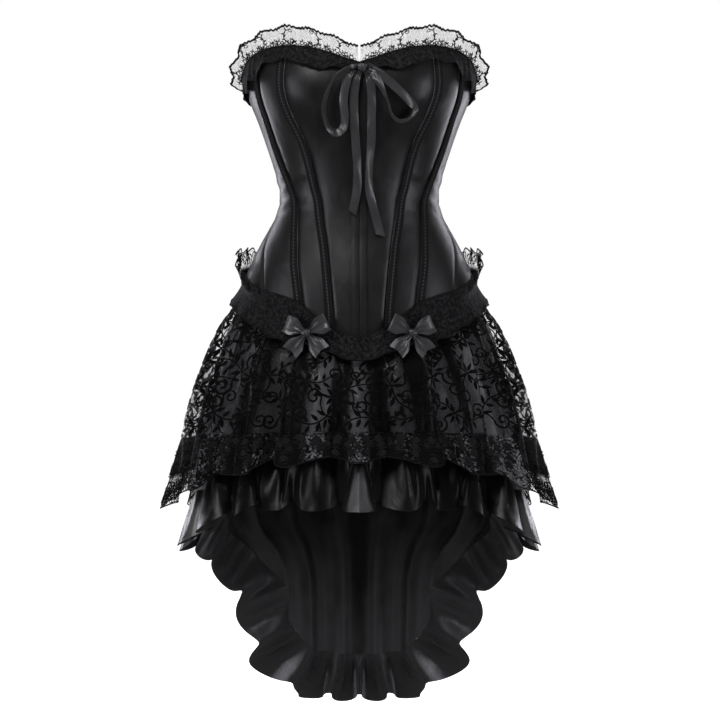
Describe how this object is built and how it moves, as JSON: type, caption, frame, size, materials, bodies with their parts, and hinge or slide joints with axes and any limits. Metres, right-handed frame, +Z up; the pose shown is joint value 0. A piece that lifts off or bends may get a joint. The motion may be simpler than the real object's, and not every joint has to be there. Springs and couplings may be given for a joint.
{
  "type": "corset dress",
  "caption": "Strapless black satin corset dress with lace frills, ribbon bows, a sheer overskirt and a long-backed ruffled skirt, hollow as if worn.",
  "frame": {"origin": "on the garment's axis at the waist, where the wearer's waist holds it", "axes": "+Z up, -Y towards the front, +X towards the right as seen from the front"},
  "size_m": [0.5128, 0.4093, 0.8972],
  "materials": {
    "satin": "black satin, softly shiny",
    "organza": "sheer black with a raised flock pattern",
    "lace": "black lace on a fine net",
    "braid": "black woven braid, matte",
    "ribbon": "black satin ribbon, shiny"
  },
  "bodies": {
    "root": {"corset_front_right": "satin", "corset_front_left": "satin", "corset_side_front_right": "satin", "corset_side_front_left": "satin", "corset_side_right": "satin", "corset_side_left": "satin", "corset_side_back_right": "satin", "corset_side_back_left": "satin", "corset_back_right": "satin", "corset_back_left": "satin", "placket_right": "satin", "placket_left": "satin", "braid_front_right": "braid", "braid_front_left": "braid", "braid_side_right": "braid", "braid_side_left": "braid", "neck_lace_front_right": "lace", "neck_lace_front_left": "lace", "neck_lace_back_right": "lace", "neck_lace_back_left": "lace", "hem_lace_front_right": "lace", "hem_lace_front_left": "lace", "hem_lace_back_right": "lace", "hem_lace_back_left": "lace", "skirt_front": "satin", "skirt_side_right": "satin", "skirt_side_left": "satin", "skirt_back_right": "satin", "skirt_back_left": "satin", "overskirt_front": "organza", "overskirt_side_right": "organza", "overskirt_side_left": "organza", "overskirt_back": "organza", "overskirt_lace_front": "lace", "overskirt_lace_side_right": "lace", "overskirt_lace_side_left": "lace", "overskirt_lace_back": "lace", "ruffle_front_right": "satin", "ruffle_front_left": "satin", "ruffle_side_right": "satin", "ruffle_side_left": "satin", "ruffle_back_right": "satin", "ruffle_back_left": "satin", "neck_bow_loop_left": "ribbon", "neck_bow_loop_right": "ribbon", "neck_bow_tail_left": "ribbon", "neck_bow_tail_right": "ribbon", "neck_bow_knot": "ribbon", "hem_bow_loop_outer_right": "ribbon", "hem_bow_loop_inner_right": "ribbon", "hem_bow_tail_outer_right": "ribbon", "hem_bow_tail_inner_right": "ribbon", "hem_bow_knot_right": "ribbon", "hem_bow_loop_outer_left": "ribbon", "hem_bow_loop_inner_left": "ribbon", "hem_bow_tail_outer_left": "ribbon", "hem_bow_tail_inner_left": "ribbon", "hem_bow_knot_left": "ribbon"}
  },
  "joints": []
}
